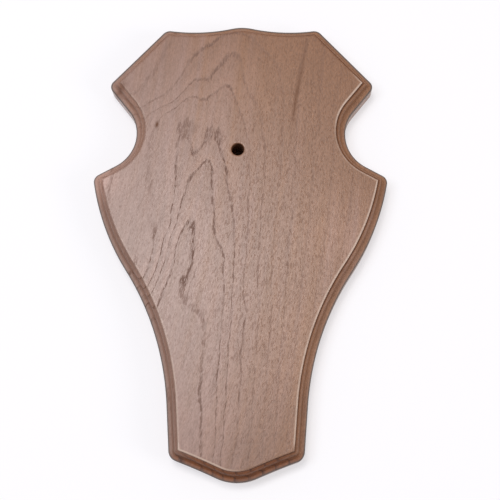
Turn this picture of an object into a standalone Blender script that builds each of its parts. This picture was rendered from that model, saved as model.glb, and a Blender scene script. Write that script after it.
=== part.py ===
# Oak mounting board for a pair of antlers: an eared, waisted shield with a moulded edge.
# Metres. It hangs upright: the back lies in the plane y = 0 and the front faces -Y.
# The origin is the middle of the back, and +Z is up.

import math

import bmesh
import bpy
from mathutils import Matrix, Vector

# Board
BOARD_HEIGHT = 0.220            # crest of the top edge to the tip of the bottom edge
BOARD_THICKNESS = 0.015         # back to front face

# Top edge: a low crest in the middle that swings up again to a corner on each side
CREST_RADIUS = 0.0224
CREST_HOLLOW_RADIUS = 0.087
TOP_CORNER_OUT = 0.0372         # from the centre line
TOP_CORNER_DOWN = 0.0015        # below the crest
TOP_CORNER_ROUNDING = 0.0045

# Upper ears, at the ends of the sloping shoulders
UPPER_EAR_OUT = 0.0648
UPPER_EAR_DOWN = 0.0310
UPPER_EAR_ROUNDING = 0.0035

# Round cove between the two pairs of ears, with a short straight run on each side of it
COVE_RADIUS = 0.0185
COVE_TOP_LEAN = math.radians(38.5)       # of the upper run, from straight down
COVE_FOOT_LEAN = math.radians(61.0)      # of the lower run, from straight down

# Lower ears, the widest place
LOWER_EAR_OUT = 0.0704
LOWER_EAR_DOWN = 0.0777
LOWER_EAR_ROUNDING = 0.0040

# Sides of the body: they swell out below the lower ears, then sweep in and run nearly straight
SIDE_LEAN_AT_EAR = math.radians(8.7)
SIDE_LEAN_AT_FOOT = math.radians(4.0)
SIDE_SWELL_RADIUS = 0.116
SIDE_STRAIGHT = 0.024           # straight run above the foot corner

# Foot: two square corners, and a rounded tip between two hollows
FOOT_CORNER_OUT = 0.0305
FOOT_CORNER_UP = 0.0105         # above the tip
FOOT_CORNER_ROUNDING = 0.0050
TIP_RADIUS = 0.0228
TIP_HOLLOW_RADIUS = 0.300

# Moulding round the edge: flat lip, hollow, bead, and a small upright step to the face
MOULDING_WIDTH = 0.00475
MOULDING_DROP = 0.0058          # front face down to the lip
LIP_WIDTH = 0.0014
STEP_HEIGHT = 0.0012
STEP_SETBACK = 0.0003           # ledge at the foot of the step
LIP_ARRIS = 0.00045
FACE_ARRIS = 0.0005

# Screw hole for the antlers, a little to the left of the centre line
HOLE_DIAMETER = 0.006
HOLE_DOWN = 0.0652              # below the crest
HOLE_OUT = -0.0011

# Fineness of the faces
OUTLINE_SAG = 0.00003           # most that a facet may cut off a round stretch of the outline
FEWEST_FACETS = 2               # in any round stretch
MOULDING_FACETS = 5             # in the hollow, and again in the bead
ARRIS_FACETS = 3
HOLE_FACETS = 32
HOLE_OVERRUN = 0.002            # of the cutter, past both faces
NEWTON_STEPS = 12               # to find where two inset edges meet
MERGE_DISTANCE = 1e-6
SMOOTH_ANGLE = math.radians(32.0)

OAK_COLOUR = (0.300, 0.192, 0.139, 1.0)
OAK_ROUGHNESS = 0.55


# Planar geometry. A point of the board's plane is a complex number, x + z * 1j. The outline
# is walked clockwise as the front shows it, so the board lies on the right-hand side.

class Line:
    def __init__(self, point, heading):
        self.point = point
        self.normal = heading * -1j

    def inward(self, place):
        return self.normal

    def depth(self, place):
        return ((place - self.point) * self.normal.conjugate()).real

    def facets(self, start, end):
        return 1

    def between(self, start, end, count):
        return [start + (end - start) * i / count for i in range(count + 1)]


class Arc:
    def __init__(self, centre, radius, hollow=False):
        self.centre = centre
        self.radius = radius
        self.side = -1 if hollow else 1

    def inward(self, place):
        offset = self.centre - place
        return offset / abs(offset) * self.side

    def depth(self, place):
        return self.side * (self.radius - abs(place - self.centre))

    def sweep(self, start, end):
        turn = (end - self.centre) / (start - self.centre)
        return math.atan2(turn.imag, turn.real)

    def facets(self, start, end):
        return facets_for(self.radius, self.sweep(start, end))

    def between(self, start, end, count):
        angle = self.sweep(start, end) / count
        spoke = start - self.centre
        turned = [self.centre + spoke * unit(angle * i) for i in range(count)]
        return turned + [end]


def unit(angle):
    return complex(math.cos(angle), math.sin(angle))


def heading(start, end):
    return (end - start) / abs(end - start)


def facets_for(radius, sweep):
    widest = 2.0 * math.acos(max(0.0, 1.0 - OUTLINE_SAG / radius))
    return max(FEWEST_FACETS, math.ceil(abs(sweep) / widest))


def inside_both(first, second, depth, start):
    """The point near start that lies depth inside two edges, by Newton's method."""
    place = start
    for _ in range(NEWTON_STEPS):
        a = first.inward(place)
        b = second.inward(place)
        miss_a = depth - first.depth(place)
        miss_b = depth - second.depth(place)
        det = a.real * b.imag - a.imag * b.real
        place += complex(miss_a * b.imag - miss_b * a.imag, miss_b * a.real - miss_a * b.real) / det
    return place


def centre_touching(centre, radius, place, hollow_radius, up):
    """Centre of the hollow arc that touches a round one from outside and ends at a place."""
    span = abs(place - centre)
    reach = radius + hollow_radius
    along = (reach ** 2 - hollow_radius ** 2 + span ** 2) / (2.0 * span)
    across = math.sqrt(reach ** 2 - along ** 2)
    side = 1j if up else -1j
    return centre + heading(centre, place) * (along + across * side)


def half_outline():
    """Edges of the right-hand half from the crest to the tip, and what joins each to the next.

    A joint is a place with the rounding of its corner, or None where the edges run on smoothly.
    """
    top = complex(0.0, BOARD_HEIGHT / 2.0)
    tip = complex(0.0, -BOARD_HEIGHT / 2.0)
    top_corner = top + complex(TOP_CORNER_OUT, -TOP_CORNER_DOWN)
    upper_ear = top + complex(UPPER_EAR_OUT, -UPPER_EAR_DOWN)
    lower_ear = top + complex(LOWER_EAR_OUT, -LOWER_EAR_DOWN)
    foot_corner = tip + complex(FOOT_CORNER_OUT, FOOT_CORNER_UP)

    crest = Arc(top - 1j * CREST_RADIUS, CREST_RADIUS)
    crest_hollow = Arc(centre_touching(crest.centre, CREST_RADIUS, top_corner, CREST_HOLLOW_RADIUS, True),
                       CREST_HOLLOW_RADIUS, hollow=True)
    shoulder = Line(top_corner, heading(top_corner, upper_ear))

    cove_top = Line(upper_ear, -1j * unit(-COVE_TOP_LEAN))
    cove_foot = Line(lower_ear, -1j * unit(COVE_FOOT_LEAN))
    notch = inside_both(cove_top, cove_foot, 0.0, lower_ear)
    cove_centre = inside_both(cove_top, cove_foot, -COVE_RADIUS, notch)
    cove = Arc(cove_centre, COVE_RADIUS, hollow=True)

    swell_heading = -1j * unit(-SIDE_LEAN_AT_EAR)
    foot_heading = -1j * unit(-SIDE_LEAN_AT_FOOT)
    swell = Arc(lower_ear + swell_heading * -1j * SIDE_SWELL_RADIUS, SIDE_SWELL_RADIUS)
    side_end = foot_corner - foot_heading * SIDE_STRAIGHT
    sweep = side_sweep(swell, side_end, foot_heading)
    side_run = Line(foot_corner, foot_heading)

    tip_round = Arc(tip + 1j * TIP_RADIUS, TIP_RADIUS)
    tip_hollow = Arc(centre_touching(tip_round.centre, TIP_RADIUS, foot_corner, TIP_HOLLOW_RADIUS, False),
                     TIP_HOLLOW_RADIUS, hollow=True)

    edges = [crest, crest_hollow, shoulder, cove_top, cove, cove_foot, swell, sweep,
             side_run, tip_hollow, tip_round]
    joints = [
        (touch(crest, crest_hollow), None),
        (top_corner, TOP_CORNER_ROUNDING),
        (upper_ear, UPPER_EAR_ROUNDING),
        (cove_centre + cove_top.normal * COVE_RADIUS, None),
        (cove_centre + cove_foot.normal * COVE_RADIUS, None),
        (lower_ear, LOWER_EAR_ROUNDING),
        (touch(swell, sweep), None),
        (side_end, None),
        (foot_corner, FOOT_CORNER_ROUNDING),
        (touch(tip_round, tip_hollow), None),
    ]
    return top, tip, edges, joints


def side_sweep(swell, end, end_heading):
    """The hollow arc that leaves the swell smoothly and reaches its end at a given heading."""
    offset = end - swell.centre
    inwards = end_heading * -1j
    across = (offset * inwards.conjugate()).real
    radius = (abs(offset) ** 2 - swell.radius ** 2) / (2.0 * (across + swell.radius))
    return Arc(end - inwards * radius, radius, hollow=True)


def touch(round_arc, hollow_arc):
    return round_arc.centre + heading(round_arc.centre, hollow_arc.centre) * round_arc.radius


def stretches(inset):
    """The half moved inwards by inset, as (edge, start, end) for each edge and rounded corner."""
    top, tip, edges, joints = half_outline()
    found = []
    start = top - 1j * inset
    for first, second, (place, rounding) in zip(edges, edges[1:], joints):
        if rounding is None:
            end = place + first.inward(place) * inset
            found.append((first, start, end))
            start = end
            continue
        core = inside_both(first, second, max(rounding, inset), place)
        reach = max(rounding - inset, 0.0)
        end = core - first.inward(core) * reach
        arrive = core - second.inward(core) * reach
        found.append((first, start, end))
        found.append((Arc(core, reach), end, arrive))
        start = arrive
    found.append((edges[-1], start, tip + 1j * inset))
    return found


def facet_counts():
    return [edge.facets(start, end) for edge, start, end in stretches(0.0)]


def full_ring(inset, counts):
    """Points of the whole outline moved inwards by inset, clockwise from the crest."""
    right = [complex(0.0, BOARD_HEIGHT / 2.0 - inset)]
    for (edge, start, end), count in zip(stretches(inset), counts):
        mitred = abs(end - start) < MERGE_DISTANCE
        right += [end] * count if mitred else edge.between(start, end, count)[1:]
    left = [complex(-p.real, p.imag) for p in reversed(right[1:-1])]
    return right + left


def moulding_section():
    """Pairs of (inset from the outline, y), from the back edge round to the rim of the face."""
    face = -BOARD_THICKNESS
    lip = face + MOULDING_DROP
    foot_of_step = face + STEP_HEIGHT
    ledge = MOULDING_WIDTH - STEP_SETBACK
    half_width = (ledge - LIP_WIDTH) / 2.0
    half_drop = (lip - foot_of_step) / 2.0
    section = [(0.0, 0.0)]
    section += arris(0.0, lip, LIP_ARRIS)
    section += [(LIP_WIDTH + half_width * math.sin(a), lip - half_drop * (1.0 - math.cos(a)))
                for a in quarter(MOULDING_FACETS)]
    section += [(ledge - half_width * math.cos(a), foot_of_step + half_drop * (1.0 - math.sin(a)))
                for a in quarter(MOULDING_FACETS)[1:]]
    section += [(MOULDING_WIDTH, foot_of_step)]
    section += arris(MOULDING_WIDTH, face, FACE_ARRIS)
    return section


def quarter(facets):
    return [math.pi / 2.0 * i / facets for i in range(facets + 1)]


def arris(inset, level, radius):
    """A rounded edge from an upright wall at inset on to a flat at level."""
    return [(inset + radius * (1.0 - math.cos(a)), level + radius * (1.0 - math.sin(a)))
            for a in quarter(ARRIS_FACETS)]


def board_mesh():
    counts = facet_counts()
    bm = bmesh.new()
    rings = []
    for inset, y in moulding_section():
        rings.append([bm.verts.new((p.real, y, p.imag)) for p in full_ring(inset, counts)])
    size = len(rings[0])
    for back, front in zip(rings, rings[1:]):
        for i in range(size):
            j = (i + 1) % size
            bm.faces.new((back[i], back[j], front[j], front[i]))
    bm.faces.new(rings[0])
    bm.faces.new(list(reversed(rings[-1])))
    bmesh.ops.remove_doubles(bm, verts=bm.verts, dist=MERGE_DISTANCE)
    bmesh.ops.recalc_face_normals(bm, faces=bm.faces)
    mesh = bpy.data.meshes.new("plaque_board")
    bm.to_mesh(mesh)
    bm.free()
    return mesh


def hole_cutter():
    bm = bmesh.new()
    length = BOARD_THICKNESS + 2.0 * HOLE_OVERRUN
    bmesh.ops.create_cone(bm, cap_ends=True, segments=HOLE_FACETS, radius1=HOLE_DIAMETER / 2.0,
                          radius2=HOLE_DIAMETER / 2.0, depth=length,
                          matrix=Matrix.Rotation(math.pi / 2.0, 4, "X"))
    mesh = bpy.data.meshes.new("screw_hole_cutter")
    bm.to_mesh(mesh)
    bm.free()
    cutter = bpy.data.objects.new("screw_hole_cutter", mesh)
    cutter.location = Vector((HOLE_OUT, -BOARD_THICKNESS / 2.0, BOARD_HEIGHT / 2.0 - HOLE_DOWN))
    cutter.hide_render = True
    cutter.display_type = "WIRE"
    bpy.context.collection.objects.link(cutter)
    return cutter


def oak_material():
    material = bpy.data.materials.new("stained_oak")
    material.use_nodes = True
    shader = material.node_tree.nodes["Principled BSDF"]
    shader.inputs["Base Color"].default_value = OAK_COLOUR
    shader.inputs["Roughness"].default_value = OAK_ROUGHNESS
    shader.inputs["Metallic"].default_value = 0.0
    return material


def plaque_board():
    mesh = board_mesh()
    mesh.shade_smooth()
    mesh.set_sharp_from_angle(angle=SMOOTH_ANGLE)
    mesh.materials.append(oak_material())
    board = bpy.data.objects.new("plaque_board", mesh)
    bpy.context.collection.objects.link(board)
    cut = board.modifiers.new("screw_hole", "BOOLEAN")
    cut.operation = "DIFFERENCE"
    cut.solver = "EXACT"
    cut.object = hole_cutter()
    return board


def main():
    for obj in list(bpy.data.objects):
        bpy.data.objects.remove(obj, do_unlink=True)
    plaque_board()


main()
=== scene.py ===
# Stained oak plaque for a pair of antlers, hanging on a pale wall.
# Metres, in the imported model's frame: the back lies in y = 0, the front faces -Y and +Z is up.
import math

import bmesh
import bpy
import numpy as np
from mathutils import Matrix, Vector


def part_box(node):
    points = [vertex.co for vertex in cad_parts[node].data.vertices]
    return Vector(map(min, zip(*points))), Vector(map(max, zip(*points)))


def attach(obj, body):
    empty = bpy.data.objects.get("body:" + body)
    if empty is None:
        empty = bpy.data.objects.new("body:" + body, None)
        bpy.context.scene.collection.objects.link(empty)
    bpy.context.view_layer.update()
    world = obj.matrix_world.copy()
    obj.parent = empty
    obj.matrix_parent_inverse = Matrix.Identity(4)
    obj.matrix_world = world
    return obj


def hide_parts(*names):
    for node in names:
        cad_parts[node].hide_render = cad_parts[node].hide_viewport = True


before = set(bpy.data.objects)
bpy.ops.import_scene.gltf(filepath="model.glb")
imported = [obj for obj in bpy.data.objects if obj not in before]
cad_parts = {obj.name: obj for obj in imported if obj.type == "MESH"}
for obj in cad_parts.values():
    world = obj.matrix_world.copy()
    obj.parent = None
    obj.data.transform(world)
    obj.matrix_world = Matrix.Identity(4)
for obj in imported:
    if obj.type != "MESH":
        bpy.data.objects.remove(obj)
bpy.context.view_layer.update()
print("loaded the packed plaque")

millimetres = 1000.0            # in a metre
tiny = 1e-9                     # the same spot, or next to nothing


# Nodes

class Wire:
    # One output socket. Sums and products of wires and numbers add Math nodes.
    def __init__(self, net, socket):
        self.net = net
        self.socket = socket

    def math(self, operation, *values):
        return self.net.add("ShaderNodeMath", {"operation": operation}, dict(enumerate(values)))

    def __add__(self, other):
        return self.math("ADD", self, other)

    def __radd__(self, other):
        return self.math("ADD", other, self)

    def __sub__(self, other):
        return self.math("SUBTRACT", self, other)

    def __rsub__(self, other):
        return self.math("SUBTRACT", other, self)

    def __mul__(self, other):
        return self.math("MULTIPLY", self, other)

    def __truediv__(self, other):
        return self.math("DIVIDE", self, other)

    def __neg__(self):
        return self.math("MULTIPLY", self, -1.0)

    def root(self):
        return self.math("SQRT", self)

    def exponent(self):
        return self.math("EXPONENT", self)

    def fraction(self):
        return self.math("FRACT", self)

    def atMost(self, other):
        return self.math("MINIMUM", self, other)

    def atLeast(self, other):
        return self.math("MAXIMUM", self, other)

    def ramp(self, start, end):
        # Smooth rise from 0 at start to 1 at end, which may be the lower of the two
        low, high = min(start, end), max(start, end)
        down = start > end
        return self.net.add("ShaderNodeMapRange", {"interpolation_type": "SMOOTHSTEP"},
                            {"Value": self, "From Min": low, "From Max": high,
                             "To Min": 1.0 if down else 0.0, "To Max": 0.0 if down else 1.0})


class NodeNet:
    def __init__(self, tree):
        self.tree = tree
        tree.nodes.clear()

    def add(self, kind, settings=None, values=None, output=0):
        node = self.tree.nodes.new(kind)
        for name, setting in (settings or {}).items():
            setattr(node, name, setting)
        for name, value in (values or {}).items():
            if isinstance(value, Wire):
                self.tree.links.new(value.socket, node.inputs[name])
            else:
                node.inputs[name].default_value = value
        return Wire(self, node.outputs[output]) if node.outputs else node

    def vector(self, x, y, z):
        return self.add("ShaderNodeCombineXYZ", None, {"X": x, "Y": y, "Z": z})

    def parts(self, vector):
        split = self.add("ShaderNodeSeparateXYZ", None, {0: vector}).socket.node
        return [Wire(self, socket) for socket in split.outputs]

    def mix(self, factor, first, second, blend="MIX"):
        return self.add("ShaderNodeMix", {"data_type": "RGBA", "blend_type": blend},
                        {0: factor, 6: first, 7: second}, 2)

    def distance(self, across, along):
        return (across * across + along * along).root()


# Grain

grain = dict(
    cell=1.5,                   # millimetres between the points of the face that carry the rings
    backCell=5.0,
    give=6.0,                   # how loosely the rings follow the lines
    ringsByDepth=0.2,           # rings nearer the heart for each millimetre into the board
    spread=3.0,                 # millimetres over which one line's strength gives way to the next
    # (ring, strength, places): where a ring's pores come to the face, millimetres out and up
    lines=[
        (0.5, 0.1, [(-27.7, -49.3), (-23.9, -37.7), (-24.5, -67.4), (-21.4, -87.5)]),
        (1, 0.75, [(-27.3, 3.8), (-29.0, -1.5), (-29.8, -7.2), (-31.0, -13.4), (-32.7, -19.1),
            (-34.8, -24.8), (-36.5, -30.4), (-38.6, -36.9)]),
        (1, 1, [(-24.6, 7.7), (-21.6, 2.9), (-22.2, -3.4), (-22.3, -8.6), (-24.0, -13.4),
            (-25.8, -19.1)]),
        (1, 0.35, [(-26.6, -24.2), (-25.1, -28.9), (-22.2, -31.7), (-19.0, -34.0), (-16.6, -36.8),
            (-15.6, -40.4), (-15.1, -44.6), (-15.9, -49.6), (-16.2, -54.2), (-16.4, -58.8)]),
        (1, 0.65, [(-16.5, -64.6), (-17.0, -71.0), (-16.2, -76.8), (-16.3, -82.1), (-16.4, -87.9),
            (-16.3, -94.0), (-15.3, -97.9)]),
        (2, 0.85, [(-21.4, 33.1), (-24.6, 27.2), (-27.2, 19.3), (-29.3, 10.6), (-31.9, 2.3),
            (-33.1, -2.9), (-33.9, -8.2), (-35.6, -13.9), (-37.8, -19.6), (-40.3, -25.7)]),
        (2, 1, [(-19.5, 35.1), (-18.2, 37.6), (-16.3, 39.6), (-14.4, 38.6), (-13.4, 36.1), (-12.9, 33.2)]),
        (2, 0.7, [(-12.6, 19.4), (-11.9, 5.8), (-10.4, 0.1), (-8.0, -4.2), (-6.5, -8.0), (-7.4, -13.3),
            (-6.4, -18.9), (-6.3, -26.0), (-6.6, -32.0), (-7.4, -39.9), (-7.7, -46.8), (-7.9, -52.8),
            (-8.5, -58.3), (-8.8, -63.2), (-9.2, -67.3), (-9.4, -70.9), (-8.6, -74.9), (-9.2, -81.1),
            (-8.9, -87.3), (-9.0, -91.7), (-9.6, -96.1), (-10.0, -99.6)]),
        (3, 1, [(-43.1, -24.8), (-40.5, -19.6), (-38.8, -15.3), (-37.5, -11.5), (-35.9, -5.8),
            (-35.1, -1.0), (-33.3, 3.8), (-31.6, 9.6), (-30.5, 19.3), (-30.2, 26.7), (-29.9, 33.1),
            (-29.6, 39.0), (-29.2, 44.0)]),
        (3, 0.5, [(-28.4, 48.5), (-27.5, 52.1), (-25.7, 54.6), (-24.2, 52.1), (-23.9, 48.1)]),
        (3, 1, [(-23.3, 44.1), (-22.5, 39.1), (-21.1, 41.6), (-18.8, 44.6), (-17.0, 48.1)]),
        (3, 0.6, [(-15.1, 51.1), (-13.2, 53.6), (-11.3, 53.6), (-10.3, 50.1)]),
        (3, 0.9, [(-9.8, 46.1), (-8.7, 40.1), (-6.7, 29.2)]),
        (3, 0.7, [(-4.1, 17.0), (-2.6, 7.3), (-2.0, -0.9), (-1.9, -5.6), (-2.3, -10.9), (-2.5, -16.6),
            (-2.6, -22.2), (-3.3, -26.9), (-2.9, -32.0), (-2.9, -36.2), (-3.7, -40.8), (-4.5, -49.1),
            (-4.4, -55.0), (-4.8, -60.5), (-5.1, -67.3), (-5.0, -74.0), (-5.9, -79.3), (-5.8, -85.1),
            (-6.1, -90.0), (-6.9, -96.1), (-7.3, -99.6)]),
        (4, 0.08, [(-45.1, 7.1), (-44.6, 19.3), (-43.8, 39.0)]),
        (4, 0.25, [(-41.9, 53.0), (-38.3, 60.1), (-34.6, 63.7)]),
        (4, 0.6, [(-30.8, 66.2), (-28.0, 68.8), (-25.1, 70.9), (-22.2, 71.4), (-19.8, 70.4),
            (-17.9, 68.8), (-15.9, 69.9), (-14.1, 71.9), (-12.2, 74.0), (-9.8, 75.5), (-6.9, 77.6),
            (-5.0, 75.5)]),
        (4, 0.3, [(-3.0, 70.4), (-0.5, 63.3), (1.5, 58.2), (3.0, 51.6), (4.5, 41.6), (5.1, 29.3),
            (4.4, 12.2), (3.6, -4.7), (2.8, -14.2), (3.9, -32.9), (2.7, -46.8), (2.0, -62.7),
            (0.9, -79.3), (0.6, -89.5), (-0.7, -95.2), (-1.5, -98.7)]),
        (5, 0.3, [(-47.3, 58.1), (-42.2, 63.2)]),
        (5, 0.6, [(-37.5, 66.2), (-34.2, 67.3), (-30.9, 69.8), (-28.5, 72.9), (-26.2, 75.5),
            (-24.3, 78.0), (-22.0, 80.1), (-19.5, 80.6), (-17.1, 78.6), (-15.2, 79.6), (-13.3, 83.2),
            (-11.4, 85.8), (-9.5, 87.9), (-8.1, 90.5), (-5.7, 92.1), (-3.3, 93.6)]),
        (5, 0.25, [(-1.3, 91.0), (0.2, 84.8), (1.3, 78.6), (3.2, 74.0), (6.2, 68.9), (9.1, 61.8),
            (10.6, 51.7), (11.2, 34.2), (10.0, 12.2), (9.2, -4.6), (9.4, -28.2), (8.2, -51.3),
            (7.1, -73.9), (6.0, -96.0)]),
        (6, 0.4, [(-47.6, 65.7), (-42.9, 68.8), (-38.6, 71.3), (-34.4, 74.4), (-31.1, 78.6),
            (-29.2, 81.7), (-26.9, 85.3), (-25.1, 89.4), (-22.7, 92.1)]),
        (6, 0.8, [(-20.8, 94.1), (-18.4, 96.2), (-15.0, 97.8), (-10.7, 101.5)]),
        (6, 0.25, [(6.9, 98.9), (11.3, 94.2), (13.7, 91.6), (16.1, 88.5), (17.6, 85.3), (19.1, 80.7),
            (20.5, 72.0), (21.0, 63.3), (20.1, 49.2), (19.2, 34.3), (17.5, 12.2), (15.7, -9.4),
            (14.9, -37.5), (13.3, -64.9), (11.7, -91.6)]),
        (7, 0.3, [(-50.3, 73.4), (-47.9, 75.9), (-46.1, 78.5), (-43.8, 82.1), (-41.9, 84.7),
            (-40.1, 87.9), (-38.7, 90.5), (-37.4, 94.1), (-35.5, 98.3)]),
        (7, 0.25, [(31.6, 99.4), (30.2, 92.6), (28.7, 84.8), (27.7, 77.1), (27.3, 69.4), (26.8, 59.3),
            (25.8, 44.2), (24.4, 24.4), (23.1, 0.2), (21.3, -28.1), (19.1, -55.8), (17.5, -82.7)]),
        (8, 0.2, [(39.3, 90.0), (38.3, 74.6), (36.8, 59.3), (35.3, 44.2), (33.8, 24.5), (31.4, 0.3),
            (28.6, -28.1), (25.9, -51.2), (23.7, -73.7), (22.4, -91.5)]),
        (9, 0.2, [(47.9, 79.7), (45.9, 64.4), (44.3, 44.3), (42.7, 24.5), (39.8, 0.3), (35.1, -28.1)]),
        (10, 0.2, [(53.6, 74.6), (53.2, 34.4), (52.1, 19.7), (49.1, 0.4)]),
        (2.6, 0.4, [(-26.4, 46.5), (-26.3, 41.5)]),
        (2.4, 0.4, [(-26.2, 36.1)]),
        (3.4, 0.4, [(-20.8, 48.1)]),
        (2.6, 0.4, [(-15.5, 44.6), (-12.6, 43.1)]),
        (0.75, 0.6, [(-26.1, -4.8), (-27.8, -13.4)]),
        (4, 0.05, [(-41.0, 13.0), (-41.0, 9.0)]),
        (4.5, 0.1, [(-44.0, -2.0)]),
        (4.7, 0.0, [(-52.0, 3.0), (-55.0, 8.0)]),
        (5, 0.0, [(-50.0, -3.0)]),
    ],
)


class RingField:
    # A thin plate spline through the lines, so that the rings nest smoothly between them
    def __init__(self):
        self.places = np.array([place for ring, strength, run in grain["lines"] for place in run])
        rings = [ring for ring, strength, run in grain["lines"] for place in run]
        self.strengths = np.array([strength for ring, strength, run in grain["lines"] for place in run])
        count = len(rings)
        rule = np.zeros((count + 3, count + 3))
        rule[:count, :count] = self.bend(self.squares(self.places)) + np.eye(count) * grain["give"]
        rule[:count, count] = 1.0
        rule[:count, count + 1:] = self.places
        rule[count:, :count] = rule[:count, count:].T
        self.weights = np.linalg.solve(rule, np.array(rings + [0.0, 0.0, 0.0]))

    def squares(self, spots):
        return ((spots[:, None] - self.places[None]) ** 2).sum(2)

    def bend(self, squares):
        return 0.5 * squares * np.log(squares + tiny)

    def at(self, spots):
        # Ring number and strength of the figure at each spot of the face
        squares = self.squares(spots)
        rings = self.bend(squares) @ self.weights[:-3] + self.weights[-3] + spots @ self.weights[-2:]
        near = (squares + grain["spread"] ** 2) ** -2
        return rings, near @ self.strengths / near.sum(1)


def layGrain(mesh):
    # Writes the rings on the points of the board, deeper ones nearer the heart
    points = np.zeros(len(mesh.vertices) * 3)
    mesh.vertices.foreach_get("co", points)
    points = points.reshape(-1, 3) * millimetres
    rings, strengths = RingField().at(points[:, [0, 2]])
    depths = points[:, 1] - low.y * millimetres
    for name, values in (("ring", rings - depths * grain["ringsByDepth"]), ("figure", strengths)):
        layer = mesh.attributes.new(name, "FLOAT", "POINT")
        layer.data.foreach_set("value", values.astype(np.float32))


# Board

low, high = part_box("plaque_board")
board = dict(
    thickness=high.y - low.y,
    crestRadius=0.0224,
    crestHollowRadius=0.087,
    topCornerOut=0.0372,
    topCornerDown=0.0015,
    topCornerRounding=0.0045,
    upperEarOut=0.0648,
    upperEarDown=0.0310,
    upperEarRounding=0.0035,
    coveRadius=0.0185,
    coveTopLean=38.5,           # degrees from straight down
    coveFootLean=61.0,
    lowerEarOut=0.0704,
    lowerEarDown=0.0777,
    lowerEarRounding=0.0040,
    sideLeanAtEar=8.7,
    sideLeanAtFoot=4.0,
    sideSwellRadius=0.116,
    sideStraight=0.024,
    footCornerOut=0.0305,
    footCornerUp=0.0105,
    footCornerRounding=0.0050,
    tipRadius=0.0228,
    tipHollowRadius=0.300,
    finestSag=0.000004,         # most that a facet cuts off a round stretch of the outline
    fewestFacets=2,             # in any round stretch
    meetingSteps=12,            # of Newton's method, to find where two inset edges meet
    sharpAbove=40.0,            # degrees between faces
)

moulding = dict(
    width=0.00475,
    drop=0.0058,                # face down to the lip
    lipWidth=0.0014,
    stepHeight=0.0012,
    stepSetback=0.0003,
    lipArris=0.00045,
    faceArris=0.0005,
    backArris=0.0004,
    wornAndHighlightMargin=0.0006,          # of the flat face inside its rim, where the finish is rubbed and a highlight is painted
    curveRings=12,              # in the hollow, and again in the bead
    arrisRings=6,
)

hole = dict(
    diameter=0.006,
    down=0.0652,                # below the crest
    out=-0.0011,
    facets=64,
)

plan = dict(
    gap=0.00475,                # from each ring to the next, until the profile tree presses them
    holeGap=0.000475,
    mergeWithin=1e-7,
    flatWithin=1e-6,
)


class StraightEdge:
    # A point of the board's plane is a complex number, x + z * 1j, and the outline runs clockwise
    def __init__(self, point, heading):
        self.point = point
        self.normal = heading * -1j

    def inward(self, place):
        return self.normal

    def depth(self, place):
        return ((place - self.point) * self.normal.conjugate()).real

    def facets(self, start, end):
        return 1

    def between(self, start, end, count):
        return [start + (end - start) * i / count for i in range(count + 1)]


class RoundEdge:
    def __init__(self, centre, radius, hollow=False):
        self.centre = centre
        self.radius = radius
        self.side = -1 if hollow else 1

    def inward(self, place):
        offset = self.centre - place
        return offset / abs(offset) * self.side

    def depth(self, place):
        return self.side * (self.radius - abs(place - self.centre))

    def facets(self, start, end):
        return facetsFor(self.radius, turnBetween(start - self.centre, end - self.centre))

    def between(self, start, end, count):
        spoke = start - self.centre
        step = turnBetween(spoke, end - self.centre) / count
        return [self.centre + spoke * unit(step * i) for i in range(count)] + [end]


def unit(angle):
    return complex(math.cos(angle), math.sin(angle))


def downwards(leanOut):
    # Heading of an edge that runs down, turned outwards by so many degrees
    return -1j * unit(math.radians(leanOut))


def headingTo(start, end):
    return (end - start) / abs(end - start)


def turnBetween(first, second):
    turn = second / first
    return math.atan2(turn.imag, turn.real)


def facetsFor(radius, turn):
    widest = 2.0 * math.acos(1.0 - board["finestSag"] / radius)
    return max(board["fewestFacets"], math.ceil(abs(turn) / widest))


def insideBoth(first, second, depth, start):
    # The point near start that lies depth inside two edges, by Newton's method
    place = start
    for attempt in range(board["meetingSteps"]):
        a, b = first.inward(place), second.inward(place)
        missA, missB = depth - first.depth(place), depth - second.depth(place)
        across = a.real * b.imag - a.imag * b.real
        place += complex(missA * b.imag - missB * a.imag, missB * a.real - missA * b.real) / across
    return place


def touchingCentre(centre, radius, place, hollowRadius, side):
    # Centre of a hollow arc that touches a round one from outside and ends at a place
    span = abs(place - centre)
    reach = radius + hollowRadius
    along = (reach ** 2 - hollowRadius ** 2 + span ** 2) / (2.0 * span)
    across = math.sqrt(reach ** 2 - along ** 2)
    return centre + headingTo(centre, place) * (along + across * side)


def touchPoint(roundEdge, hollowEdge):
    return roundEdge.centre + headingTo(roundEdge.centre, hollowEdge.centre) * roundEdge.radius


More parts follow.
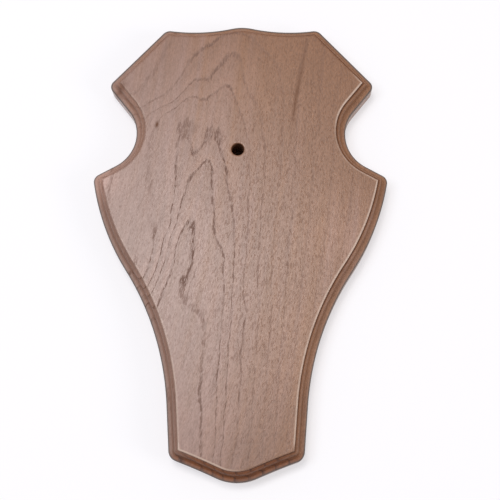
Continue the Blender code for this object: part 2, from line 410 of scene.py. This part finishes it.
def halfOutline(b):
    # Edges from the crest to the tip, and each joint with its corner's rounding, or none where smooth
    top = complex(0.0, high.z)
    tip = complex(0.0, low.z)
    topCorner = top + complex(b["topCornerOut"], -b["topCornerDown"])
    upperEar = top + complex(b["upperEarOut"], -b["upperEarDown"])
    lowerEar = top + complex(b["lowerEarOut"], -b["lowerEarDown"])
    footCorner = tip + complex(b["footCornerOut"], b["footCornerUp"])

    crest = RoundEdge(top - 1j * b["crestRadius"], b["crestRadius"])
    hollowRadius = b["crestHollowRadius"]
    crestHollow = RoundEdge(touchingCentre(crest.centre, crest.radius, topCorner, hollowRadius, 1j),
                            hollowRadius, hollow=True)
    shoulder = StraightEdge(topCorner, headingTo(topCorner, upperEar))

    coveTop = StraightEdge(upperEar, downwards(-b["coveTopLean"]))
    coveFoot = StraightEdge(lowerEar, downwards(b["coveFootLean"]))
    notch = insideBoth(coveTop, coveFoot, 0.0, lowerEar)
    cove = RoundEdge(insideBoth(coveTop, coveFoot, -b["coveRadius"], notch), b["coveRadius"], hollow=True)

    swellHeading = downwards(-b["sideLeanAtEar"])
    swell = RoundEdge(lowerEar + swellHeading * -1j * b["sideSwellRadius"], b["sideSwellRadius"])
    footHeading = downwards(-b["sideLeanAtFoot"])
    sweepEnd = footCorner - footHeading * b["sideStraight"]
    sweep = sweepInto(swell, sweepEnd, footHeading)
    sideRun = StraightEdge(footCorner, footHeading)

    tipRound = RoundEdge(tip + 1j * b["tipRadius"], b["tipRadius"])
    hollowRadius = b["tipHollowRadius"]
    tipHollow = RoundEdge(touchingCentre(tipRound.centre, tipRound.radius, footCorner, hollowRadius, -1j),
                          hollowRadius, hollow=True)

    edges = [crest, crestHollow, shoulder, coveTop, cove, coveFoot, swell, sweep, sideRun,
             tipHollow, tipRound]
    joints = [
        (touchPoint(crest, crestHollow), None),
        (topCorner, b["topCornerRounding"]),
        (upperEar, b["upperEarRounding"]),
        (cove.centre + coveTop.normal * cove.radius, None),
        (cove.centre + coveFoot.normal * cove.radius, None),
        (lowerEar, b["lowerEarRounding"]),
        (touchPoint(swell, sweep), None),
        (sweepEnd, None),
        (footCorner, b["footCornerRounding"]),
        (touchPoint(tipRound, tipHollow), None),
    ]
    return top, tip, edges, joints


def sweepInto(swell, end, endHeading):
    # The hollow arc that leaves the swell smoothly and reaches its end at a given heading
    offset = end - swell.centre
    inwards = endHeading * -1j
    across = (offset * inwards.conjugate()).real
    radius = (abs(offset) ** 2 - swell.radius ** 2) / (2.0 * (across + swell.radius))
    return RoundEdge(end - inwards * radius, radius, hollow=True)


def stretchesAt(inset, outline):
    # The outline moved inwards, as one (edge, start, end) for each edge and rounded corner
    top, tip, edges, joints = outline
    stretches = []
    start = top - 1j * inset
    for first, second, (place, rounding) in zip(edges, edges[1:], joints):
        if rounding is None:
            end = place + first.inward(place) * inset
            stretches.append((first, start, end))
            start = end
            continue
        core = insideBoth(first, second, max(rounding, inset), place)
        reach = max(rounding - inset, 0.0)
        end = core - first.inward(core) * reach
        arrive = core - second.inward(core) * reach
        stretches.append((first, start, end))
        stretches.append((RoundEdge(core, reach), end, arrive))
        start = arrive
    stretches.append((edges[-1], start, tip + 1j * inset))
    return stretches


def insetRing(inset, outline, counts):
    right = [complex(0.0, high.z - inset)]
    for (edge, start, end), count in zip(stretchesAt(inset, outline), counts):
        sharp = abs(end - start) < tiny
        right += [end] * count if sharp else edge.between(start, end, count)[1:]
    return right + [complex(-p.real, p.imag) for p in reversed(right[1:-1])]


def quarterSteps(rings):
    return [math.pi / 2.0 * i / rings for i in range(rings + 1)]


def mouldingStations(m):
    # (inset, level) of each ring. The level is 0 by the back, 1 on the moulding and 2 at the face
    ledge = m["width"] - m["stepSetback"]
    halfWidth = (ledge - m["lipWidth"]) / 2.0
    eased = [1.0 - math.cos(a) for a in quarterSteps(m["arrisRings"])]
    swung = [math.sin(a) for a in quarterSteps(m["curveRings"])]
    stations = [(m["backArris"] * e, 0) for e in reversed(eased)]
    stations += [(m["lipArris"] * e, 1) for e in eased]
    stations += [(m["lipWidth"] + halfWidth * s, 1) for s in swung]
    stations += [(ledge - halfWidth * s, 1) for s in reversed(swung[:-1])]
    stations += [(m["width"], 1)]
    stations += [(m["width"] + m["faceArris"] * e, 2) for e in eased]
    stations += [(m["width"] + m["faceArris"] + m["wornAndHighlightMargin"], 2)]
    return stations


def addRing(bm, points, depth, inset, level):
    insetLayer = bm.verts.layers.float["inset"]
    levelLayer = bm.verts.layers.float["level"]
    ring = []
    for point in points:
        vert = bm.verts.new((point.real, depth, point.imag))
        vert[insetLayer] = inset
        vert[levelLayer] = level
        ring.append(vert)
    return ring


def skin(bm, rings):
    for back, front in zip(rings, rings[1:]):
        for i in range(len(back)):
            j = (i + 1) % len(back)
            bm.faces.new((back[i], back[j], front[j], front[i]))


def holeRings(bm, faceDepth, gap):
    # Rings of the hole from the face to the back. Their insets count from its wall, so that the
    # profile tree eases its mouths as it does the rim and the back edge.
    centre = complex(hole["out"], high.z - hole["down"])
    circle = [unit(-2.0 * math.pi * i / hole["facets"]) for i in range(hole["facets"])]
    eased = [1.0 - math.cos(a) for a in quarterSteps(moulding["arrisRings"])]
    frontReaches = [moulding["faceArris"] * e for e in eased]
    frontReaches += [moulding["faceArris"] + moulding["wornAndHighlightMargin"]]
    backReaches = [moulding["backArris"] * e for e in eased]

    def ring(reach, depth, inset, level):
        points = [centre + spoke * (hole["diameter"] / 2.0 + reach) for spoke in circle]
        return addRing(bm, points, depth, inset, level)

    front = [ring(reach, faceDepth + gap * (len(frontReaches) - 1 - k), moulding["width"] + reach, 2)
             for k, reach in enumerate(frontReaches)]
    back = [ring(reach, -gap * (len(backReaches) - 1 - k), reach, 0)
            for k, reach in enumerate(backReaches)]
    return front[::-1] + back


def boardPlan(outline):
    # The plan's rings, each a little in front of the last, which the profile tree presses into shape
    bm = bmesh.new()
    bm.verts.layers.float.new("inset")
    bm.verts.layers.float.new("level")
    stations = mouldingStations(moulding)
    faceDepth = -plan["gap"] * (len(stations) - 1)
    counts = [edge.facets(start, end) for edge, start, end in stretchesAt(0.0, outline)]
    skin(bm, [addRing(bm, insetRing(inset, outline, counts), -plan["gap"] * k, inset, level)
              for k, (inset, level) in enumerate(stations)])
    skin(bm, holeRings(bm, faceDepth, plan["holeGap"]))
    bmesh.ops.remove_doubles(bm, verts=bm.verts, dist=plan["mergeWithin"])
    fillFlat(bm, 0.0, grain["backCell"] / millimetres)
    fillFlat(bm, faceDepth, grain["cell"] / millimetres)
    bmesh.ops.recalc_face_normals(bm, faces=bm.faces)
    mesh = bpy.data.meshes.new("boardPlan")
    bm.to_mesh(mesh)
    bm.free()
    return mesh


def fillFlat(bm, depth, cell):
    # Closes the back or the face
    rims = [edge for edge in bm.edges
            if edge.is_boundary and abs(edge.verts[0].co.y - depth) < plan["flatWithin"]]
    filled = bmesh.ops.triangle_fill(bm, use_beauty=True, edges=rims)["geom"]
    cutIntoCells(bm, [part for part in filled if isinstance(part, bmesh.types.BMFace)], cell)


def cutIntoCells(bm, faces, cell):
    # Gives a flat face the points that carry the growth rings
    geometry = set(faces)
    for face in faces:
        geometry.update(face.edges, face.verts)
    for axis in (Vector((1.0, 0.0, 0.0)), Vector((0.0, 0.0, 1.0))):
        reach = max(axis.dot(high), -axis.dot(low))
        for k in range(-int(reach / cell), int(reach / cell) + 1):
            cut = bmesh.ops.bisect_plane(bm, geom=list(geometry), dist=plan["flatWithin"],
                                         plane_co=axis * (k + 0.5) * cell, plane_no=axis)
            geometry = set(cut["geom"]) | set(cut["geom_cut"])


def profileTree(material):
    # Presses the plan into the board: eased back, wall, lip, hollow, bead, step and face
    tree = bpy.data.node_groups.new("routedProfile", "GeometryNodeTree")
    net = NodeNet(tree)
    tree.interface.new_socket("Geometry", in_out="INPUT", socket_type="NodeSocketGeometry")
    sizes = {}
    for name, value in {
        "Thickness": board["thickness"],
        "Drop": moulding["drop"],
        "Moulding Width": moulding["width"],
        "Lip Width": moulding["lipWidth"],
        "Step Height": moulding["stepHeight"],
        "Step Setback": moulding["stepSetback"],
        "Lip Arris": moulding["lipArris"],
        "Face Arris": moulding["faceArris"],
        "Back Arris": moulding["backArris"],
    }.items():
        socket = tree.interface.new_socket(name, in_out="INPUT", socket_type="NodeSocketFloat")
        sizes[socket.identifier] = value
    tree.interface.new_socket("Geometry", in_out="OUTPUT", socket_type="NodeSocketGeometry")

    entry = net.add("NodeGroupInput").socket.node

    def given(name):
        return Wire(net, entry.outputs[name])

    def attribute(name):
        return net.add("GeometryNodeInputNamedAttribute", {"data_type": "FLOAT"}, {"Name": name})

    def roundOff(share):
        # Height of a quarter circle at a share of its reach, from 1 at the top to 0 at the end
        kept = share.atLeast(0.0).atMost(1.0)
        return (1.0 - kept * kept).root()

    inset = attribute("inset")
    level = attribute("level")
    lip = given("Thickness") - given("Drop")
    ledge = given("Moulding Width") - given("Step Setback")
    halfWidth = (ledge - given("Lip Width")) * 0.5
    halfDrop = (given("Drop") - given("Step Height")) * 0.5

    def eased(radius, distance):
        return radius * (1.0 - roundOff((radius - distance) / radius))

    backHeight = eased(given("Back Arris"), inset)
    hollow = 1.0 - roundOff((inset - given("Lip Width")) / halfWidth)
    bead = roundOff((ledge - inset) / halfWidth)
    mouldingHeight = lip + halfDrop * (hollow + bead) - eased(given("Lip Arris"), inset)
    faceHeight = given("Thickness") - eased(given("Face Arris"), inset - given("Moulding Width"))

    onMoulding = level.math("GREATER_THAN", level, 0.5)
    onFace = level.math("GREATER_THAN", level, 1.5)
    height = (backHeight * (1.0 - onMoulding) + mouldingHeight * (onMoulding - onFace)
              + faceHeight * onFace)

    place = net.add("GeometryNodeInputPosition")
    x, y, z = net.parts(place)
    pressed = net.add("GeometryNodeSetPosition", None,
                      {"Geometry": given("Geometry"), "Position": net.vector(x, -height, z)})
    whole = net.add("GeometryNodeRealizeInstances", None, {"Geometry": pressed})
    dressed = net.add("GeometryNodeSetMaterial", None, {"Geometry": whole, "Material": material})
    net.add("NodeGroupOutput", None, {"Geometry": dressed})
    return tree, sizes


def makeBoard(material):
    rough = bpy.data.objects.new("boardPlan", boardPlan(halfOutline(board)))
    bpy.context.collection.objects.link(rough)
    tree, sizes = profileTree(material)
    profile = rough.modifiers.new("routedProfile", "NODES")
    profile.node_group = tree
    for identifier, value in sizes.items():
        profile[identifier] = value
    mesh = bpy.data.meshes.new_from_object(rough.evaluated_get(bpy.context.evaluated_depsgraph_get()))
    bpy.data.objects.remove(rough, do_unlink=True)

    mesh.name = "moulded_board"
    mesh.shade_smooth()
    mesh.set_sharp_from_angle(angle=math.radians(board["sharpAbove"]))
    piece = bpy.data.objects.new("moulded_board", mesh)
    bpy.context.collection.objects.link(piece)
    flatter = piece.modifiers.new("flatFace", "WEIGHTED_NORMAL")
    flatter.keep_sharp = True
    piece.data = bpy.data.meshes.new_from_object(
        piece.evaluated_get(bpy.context.evaluated_depsgraph_get()))
    piece.modifiers.clear()
    layGrain(piece.data)
    print("board made with", len(piece.data.polygons), "faces")
    return piece


# Oak

oak = dict(
    # The grain, in millimetres and parts of a ring
    lean=0.21,                  # of the fibres, to the right going up
    leanLess=0.00045,           # less of it higher up
    leanShare=0.8,              # of it on the centre line
    leanLeft=0.006,             # more of it to the left
    fray=0.22,                  # rings by which vessels end early or late
    band=0.065,                 # half of a ring's porous band, in rings
    lateWood=(0.75, 0.40),      # where the late wood shows and is palest, from a ring's far side
    endPores=(0.34, 0.02),      # the same for pores in the end grain
    # Waves per millimetre across the fibres and along them
    waves=dict(
        fray=(1.1, 0.16),
        vessels=(2.3, 0.42),
        clusters=(0.5, 0.17),   # of vessels
        strays=(1.9, 0.55),     # vessels between the bands
        dashes=(2.5, 0.85),
        fibres=(0.9, 0.06),
        stripes=(0.20, 0.006),
        patches=(0.5, 0.25),
    ),
    # The noise at which each starts and is whole
    vesselsFrom=(0.40, 0.56),
    clustersFrom=(0.36, 0.54),
    straysFrom=(0.59, 0.67),
    patchesFrom=(0.3, 0.7),
    # Millimetres out or up, where each starts and is whole
    straysOut=(-30.0, 15.0),
    dashesOut=(-10.0, 30.0),
    toneTurn=20.0,              # below the middle, where the stain warms faster to the right
    toneReach=45.0,             # over which the stain goes from pale to warm
    litEdgeOut=(35.0, 50.0),       # painted light, paler by the right edge, from the lower ear down
    litEdgeUp=(40.0, 10.0),
    mouldingLitUp=(12.0, 40.0),        # the moulding and sides, painted lighter upwards where the light falls, less to the right
    foot=(-95.0, -101.0),       # end grain on the moulding
    footRim=(-92.0, -95.5),
    footWornAndLitOut=(6.0, -8.0),
    crestRim=(86.0, 76.0),
    crestEdgeShade=(74.0, 82.0),
    coveBottomUp=(26.0, 32.0),
    coveTopUp=(66.0, 50.0),
    quirkShadeOut=(-10.0, 50.0),
    # Millimetres from the outline, the step, the rim's end, and the hole's wall and mouths
    edgeShadeReach=(0.85, 0.3),      # of the painted shade along the outer edge
    edgeShadeMore=0.25,              # of it along the crest
    quirkShadeReach=(1.1, 0.4),
    rimSoft=0.15,
    mouthReach=(2.0, 1.0),      # of the ring round the hole with less wear and less painted highlight
    holeShadeReach=(0.25, 0.05),
    holeShadeFront=(0.1, 0.9),
    holeShadeBack=(0.1, 0.4),
    # Colours
    # pale stain with painted sheen in it, lighter and more lilac
    paleWithSheen=(0.243, 0.130, 0.098),
    warm=(0.215, 0.094, 0.045),
    vein=(0.148, 0.068, 0.044),
    pore=(0.098, 0.040, 0.024),
    mark=(0.105, 0.034, 0.010),
    endGrain=(0.140, 0.042, 0.011),
    mouldingTint=(0.95, 0.93, 0.87),            # on the pale side
    mouldingWarmTint=(1.00, 0.97, 0.88),
    # painted shade along the lip's outer arris
    edge=(0.082, 0.062, 0.054),
    quirkShade=(0.085, 0.024, 0.007),                # painted shade at the foot of the step, which faces away from the light
    # pale rubbed finish and painted highlight on the face's rim
    wornAndHighlight=(0.500, 0.355, 0.280),
    # painted shade inside the hole
    holeShade=(0.150, 0.065, 0.032),
    roughness=0.36,
    mouldingRoughness=0.16,     # more than the face
    bumpStrength=0.55,
    bumpDepth=0.00006,          # metres
    # (out, up, reach, gain): places where the stain is thinner, or thicker below 0, and partly painted
    # light, such as the lighter right edge
    thinAndLit=[
        (48.0, 4.0, 13.0, 0.22),
        (32.0, -38.0, 17.0, 0.14),
        (5.0, -98.0, 9.0, -0.12),
        (0.0, 75.0, 12.0, 0.10),
        (-45.0, 2.0, 7.0, -0.04),
        (-8.0, -84.0, 9.0, 0.08),
        (27.0, -62.0, 8.0, 0.08),
        (-64.0, 29.0, 5.0, 0.45),
        (-23.0, -60.0, 9.0, 0.04),
    ],
    # (out, up, slope, half width, half height, strength)
    marks=[
        (-39.9, 57.1, 0.10, 0.50, 1.00, 0.95),
        (28.6, 81.0, 0.17, 0.60, 13.0, 0.50),
        (26.2, 70.0, 0.10, 0.50, 9.0, 0.40),
        (-58.6, 75.9, 0.80, 1.60, 1.80, 0.60),
    ],
)


def solid(colour):
    return (*colour, 1.0)


class OakNet(NodeNet):
    # A net whose places are in millimetres, with what the colours and the bump share
    def __init__(self, tree):
        super().__init__(tree)
        place = self.add("ShaderNodeTexCoord", None, None, "Object")
        inMm = self.add("ShaderNodeVectorMath", {"operation": "SCALE"}, {0: place, "Scale": millimetres})
        self.x, self.y, self.z = self.parts(inMm)
        lean = self.z * oak["lean"] - self.z * self.z * oak["leanLess"]
        self.leaning = self.x - lean * (oak["leanShare"] - self.x * oak["leanLeft"])
        self.level = self.attribute("level")
        self.inset = self.attribute("inset") * millimetres
        self.fromHole = self.distance(self.x - hole["out"] * millimetres,
                                      self.z - (high.z - hole["down"]) * millimetres)
        self.patchy = self.grainNoise("patches").ramp(*oak["patchesFrom"])
        self.findPores()
        self.findEdges()

    def attribute(self, name):
        return self.add("ShaderNodeAttribute", {"attribute_name": name}, None, "Fac")

    def grainNoise(self, name, detail=2.0):
        across, along = oak["waves"][name]
        place = self.vector(self.leaning * across, self.y * across, self.z * along)
        return self.add("ShaderNodeTexNoise", None, {"Vector": place, "Scale": 1.0, "Detail": detail})

    def shade(self, colour, change):
        # Lighter or darker by a share, and browner where darker
        gains = self.add("ShaderNodeCombineColor", None,
                         {0: 1.0 + change, 1: 1.0 + change * 1.15, 2: 1.0 + change * 1.35})
        return self.mix(1.0, colour, gains, "MULTIPLY")

    def spot(self, across, along):
        return ((across * across + along * along) * -0.5).exponent()

    def findPores(self):
        # Early wood at each whole ring, made of short frayed vessels, and pale late wood outside it
        band = oak["band"]
        frayed = (self.grainNoise("fray", 1.0) - 0.5) * oak["fray"]
        self.figure = self.attribute("figure")
        self.phase = (self.attribute("ring") + frayed + band).fraction()
        self.early = self.phase.ramp(0.0, 0.05) * self.phase.ramp(band * 2.6, band * 1.4) * self.figure
        self.late = (self.phase.ramp(band * 1.8, band * 3.2) * self.phase.ramp(*oak["lateWood"])
                     * self.figure)
        clusters = self.grainNoise("clusters", 1.0).ramp(*oak["clustersFrom"]) * 0.7 + 0.3
        self.vessels = self.early * self.grainNoise("vessels", 1.0).ramp(*oak["vesselsFrom"]) * clusters
        self.strays = (self.grainNoise("strays", 1.0).ramp(*oak["straysFrom"])
                       * (self.x.ramp(*oak["straysOut"]) * 0.6 + 0.4))
        self.dashes = ((self.grainNoise("dashes", 1.0) - 0.5)
                       * (self.figure * 0.2 + self.x.ramp(*oak["dashesOut"]) * 0.22 + 0.27))

    def findEdges(self):
        # By level, which is 0 on the back, 1 on the moulding and 2 on the face, and by inset
        width = moulding["width"] * millimetres
        rimEnd = width + moulding["faceArris"] * millimetres
        marginEnd = rimEnd + moulding["wornAndHighlightMargin"] * millimetres
        self.beside = self.level.ramp(0.0, 0.15) * self.level.ramp(1.9, 1.2)
        self.moulded = self.level.ramp(0.85, 0.98) * self.beside
        # painted shade along the outer edge, reaching further in along the crest
        edgeShadeInset = self.inset - self.z.ramp(*oak["crestEdgeShade"]) * oak["edgeShadeMore"]
        self.edge = self.level.ramp(0.8, 0.98) * self.beside * edgeShadeInset.ramp(*oak["edgeShadeReach"])
        # painted shade in the quirk below the step, stronger to the right
        self.quirkShade = (self.inset.ramp(*(width - reach for reach in oak["quirkShadeReach"]))
                      * self.level.ramp(1.75, 1.3) * (self.x.ramp(*oak["quirkShadeOut"]) * 0.55 + 0.2))
        # the face's rim, which takes the wear and the painted highlight
        self.rim = self.level.ramp(1.6, 1.95) * self.inset.ramp(marginEnd, rimEnd - oak["rimSoft"])


def stainAndSheenTone(net):
    # 0 where the stain is pale, on the left, and 1 where it is warm, on the right and at the top. The
    # pale, lilac left also carries painted sheen.
    x, z = net.x, net.z
    lowDown = (-z - oak["toneTurn"]).atLeast(0.0)
    drift = (x * (lowDown * 0.004 + 0.42) + z.atLeast(0.0) * 0.16) / oak["toneReach"]
    # painted light: paler by the right edge
    litEdge = x.ramp(*oak["litEdgeOut"]) * z.ramp(*oak["litEdgeUp"]) * 0.35
    return (drift - litEdge + 0.45 + (net.grainNoise("stripes") - 0.5) * 1.1).ramp(0.0, 1.0)


def grainedOak(net, tone):
    # Stain, dashes, fibres and pores, as the face has them, with thinner stain and painted light in spots
    body = net.mix(tone, solid(oak["paleWithSheen"]), solid(oak["warm"]))
    # spots of thinner or thicker stain, with painted light by the right edge
    thinnessAndLight = 0.0
    for out, up, reach, gain in oak["thinAndLit"]:
        thinnessAndLight = net.spot((net.x - out) / reach, (net.z - up) / reach) * gain + thinnessAndLight
    fibres = net.grainNoise("fibres") - 0.5
    body = net.shade(body, net.dashes * 1.5 + fibres * 0.35 + net.late * 0.14 + thinnessAndLight)
    veined = net.mix((net.vessels * 0.70 + net.early * 0.40).atMost(1.0), body, solid(oak["vein"]))
    return net.mix((net.vessels * 0.45 + net.strays * 0.24).atMost(1.0), veined, solid(oak["pore"]))


def stainedMoulding(net, tone, colour):
    # The moulding's own stain with painted light that pales it upwards, end grain at the foot, and painted
    # shade in the quirk and along the outer edge
    tint = net.mix(tone, solid(oak["mouldingTint"]), solid(oak["mouldingWarmTint"]))
    tinted = net.mix(net.moulded, colour, net.mix(1.0, colour, tint, "MULTIPLY"))
    # painted light: the moulding and sides lighter upwards, less to the right
    tinted = net.shade(tinted, net.beside * net.z.ramp(*oak["mouldingLitUp"]) * (0.16 - net.x * 0.0012))
    porousEnds = net.phase.ramp(*oak["endPores"]) * 0.58 + net.patchy * 0.34 - 0.32
    endGrain = net.shade(solid(oak["endGrain"]), net.dashes * 2.0 - porousEnds)
    footed = net.mix(net.beside * net.z.ramp(*oak["foot"]), tinted, endGrain)
    return net.mix(net.edge * 0.85, net.mix(net.quirkShade, footed, solid(oak["quirkShade"])), solid(oak["edge"]))


def wornRimAndHighlight(net, colour):
    # Rubbed pale, and painted with a highlight where light would catch the rim: most on the right and at
    # the foot's left, none at the crest, and less in the coves and at the hole
    x, z = net.x, net.z
    sideWearAndHighlight = (x * 0.008 + 0.50 + net.patchy * 0.2) * z.ramp(*oak["crestRim"])
    footWearAndHighlight = x.ramp(*oak["footWornAndLitOut"]) * 0.75 + 0.10
    footRim = z.ramp(*oak["footRim"])
    inCove = z.ramp(*oak["coveBottomUp"]) * z.ramp(*oak["coveTopUp"]) * 0.6
    wearAndHighlight = (sideWearAndHighlight * (1.0 - footRim) + footWearAndHighlight * footRim - inCove).atLeast(0.0).atMost(1.0)
    radius = hole["diameter"] / 2.0 * millimetres
    mouth = net.fromHole.ramp(*(radius + reach for reach in oak["mouthReach"]))
    return net.mix(net.rim * wearAndHighlight * (1.0 - mouth * 0.7), colour, solid(oak["wornAndHighlight"]))


def markedOak(net, colour):
    # The colour with its marks, and how much of a mark there is
    marks = 0.0
    for out, up, slope, halfWidth, halfHeight, strength in oak["marks"]:
        rise = net.z - up
        spot = net.spot((net.x - out - rise * slope) / halfWidth, rise / halfHeight) * strength
        colour = net.mix(spot, colour, solid(oak["mark"]))
        marks = spot + marks
    return colour, marks


def holeShadedOak(net, colour):
    # Painted shade inside the hole, away from its two mouths
    radius = hole["diameter"] / 2.0 * millimetres
    behindFace = net.y - low.y * millimetres
    beforeBack = high.y * millimetres - net.y
    holeShade = (net.fromHole.ramp(*(radius + reach for reach in oak["holeShadeReach"]))
              * behindFace.ramp(*oak["holeShadeFront"]) * beforeBack.ramp(*oak["holeShadeBack"]))
    return net.mix(holeShade, colour, solid(oak["holeShade"]))


def oakMaterial():
    material = bpy.data.materials.new("stainedOak")
    material.use_nodes = True
    net = OakNet(material.node_tree)
    tone = stainAndSheenTone(net)
    stained = stainedMoulding(net, tone, grainedOak(net, tone))
    marked, marks = markedOak(net, wornRimAndHighlight(net, stained))
    lifted = net.dashes * 1.8 - net.vessels * 1.1 - net.strays * 0.9
    bump = net.add("ShaderNodeBump", None, {"Strength": oak["bumpStrength"], "Distance": oak["bumpDepth"],
                                            "Height": lifted})
    roughness = (net.moulded * oak["mouldingRoughness"] + oak["roughness"] - net.level.ramp(0.9, 0.8) * 0.1
                 + net.vessels * 0.3 + net.strays * 0.06 - net.dashes * 0.3
                 + marks * 0.4 + net.quirkShade * 0.5)
    shader = net.add("ShaderNodeBsdfPrincipled", None,
                     {"Base Color": holeShadedOak(net, marked), "Roughness": roughness, "Normal": bump})
    net.add("ShaderNodeOutputMaterial", None, {"Surface": shader})
    return material


# Wall

wall = dict(
    gap=0.0003,                 # behind the board's back
    reach=0.9,                  # half its width
    colour=(0.41, 0.40, 0.41, 1.0),
    glow=(0.98, 0.96, 0.98, 1.0),           # lit through from behind, which keeps shadows faint
    glowStrength=0.55,
    shaded=(0.060, 0.028, 0.016, 1.0),      # behind the hole
    shadedReach=(0.52, 0.6),                # of the hole's diameter, where it starts to end and is gone
)


def wallMaterial():
    # Pale and lit through. It is clear from behind, so the back of the board can be looked at.
    material = bpy.data.materials.new("paleWall")
    material.use_nodes = True
    net = NodeNet(material.node_tree)
    x, y, z = net.parts(net.add("ShaderNodeTexCoord", None, None, "Object"))
    fromHole = net.distance(x - hole["out"], z - (high.z - hole["down"]))
    lit = fromHole.ramp(*(hole["diameter"] * share for share in wall["shadedReach"]))
    paint = net.add("ShaderNodeBsdfPrincipled", None,
                    {"Base Color": net.mix(lit, wall["shaded"], wall["colour"]), "Roughness": 1.0,
                     "Specular IOR Level": 0.0,
                     "Emission Color": net.mix(lit, solid((0.0, 0.0, 0.0)), wall["glow"]),
                     "Emission Strength": wall["glowStrength"]})
    clear = net.add("ShaderNodeBsdfTransparent")
    rear = net.add("ShaderNodeNewGeometry", None, None, "Backfacing")
    shown = net.add("ShaderNodeMixShader", None, {0: rear, 1: paint, 2: clear})
    net.add("ShaderNodeOutputMaterial", None, {"Surface": shown})
    return material


def makeWall():
    bm = bmesh.new()
    bmesh.ops.create_grid(bm, x_segments=1, y_segments=1, size=wall["reach"],
                          matrix=Matrix.Translation((0.0, high.y + wall["gap"], 0.0))
                          @ Matrix.Rotation(math.pi / 2.0, 4, "X"))
    mesh = bpy.data.meshes.new("pale_wall")
    bm.to_mesh(mesh)
    bm.free()
    mesh.materials.append(wallMaterial())
    plane = bpy.data.objects.new("pale_wall", mesh)
    bpy.context.collection.objects.link(plane)


# Camera and light

camera = dict(
    place=(0.01666, -0.50191, -0.12153),
    yaw=1.343,                  # degrees to the left of straight ahead
    pitch=13.521,               # degrees up
    roll=0.610,                 # degrees anticlockwise, as seen from behind the camera
    lens=77.74,                 # millimetres
    sensor=36.0,
)

studio = dict(
    lamps=dict(
        key=dict(place=(-0.14, -1.25, 0.26), size=0.42, power=7.0, colour=(1.0, 0.985, 0.96)),
        window=dict(place=(-0.55, -1.10, 0.02), size=0.55, power=4.5, colour=(0.86, 0.93, 1.0)),
        side=dict(place=(1.0, -0.62, -0.30), size=0.5, power=3.5, colour=(1.0, 0.97, 0.94)),
    ),
    air=(0.95, 0.97, 1.0),
    airStrength=0.42,
)


def makeCamera():
    yaw, pitch, roll = (math.radians(camera[k]) for k in ("yaw", "pitch", "roll"))
    lookTurn = (Matrix.Rotation(yaw, 4, "Z") @ Matrix.Rotation(math.pi / 2.0 + pitch, 4, "X")
                @ Matrix.Rotation(roll, 4, "Z"))
    data = bpy.data.cameras.new("camera")
    data.lens = camera["lens"]
    data.sensor_width = camera["sensor"]
    seen = bpy.data.objects.new("camera", data)
    seen.matrix_world = Matrix.Translation(camera["place"]) @ lookTurn
    bpy.context.collection.objects.link(seen)
    bpy.context.scene.camera = seen


def makeLights():
    aim = Vector((0.0, 0.0, 0.0))
    for name, lamp in studio["lamps"].items():
        data = bpy.data.lights.new(name + "Light", "AREA")
        data.shape = "DISK"
        data.size = lamp["size"]
        data.energy = lamp["power"]
        data.color = lamp["colour"]
        light = bpy.data.objects.new(name + "Light", data)
        place = Vector(lamp["place"])
        turn = (aim - place).to_track_quat("-Z", "Y").to_matrix().to_4x4()
        light.matrix_world = Matrix.Translation(place) @ turn
        bpy.context.collection.objects.link(light)
    world = bpy.data.worlds.new("studioAir")
    bpy.context.scene.world = world
    world.use_nodes = True
    background = world.node_tree.nodes["Background"]
    background.inputs["Color"].default_value = (*studio["air"], 1.0)
    background.inputs["Strength"].default_value = studio["airStrength"]


makeCamera()
makeLights()
makeWall()
bpy.context.scene.view_settings.view_transform = "Standard"
print("camera, lights and wall made")

plaque = makeBoard(oakMaterial())
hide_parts("plaque_board")
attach(plaque, "root")
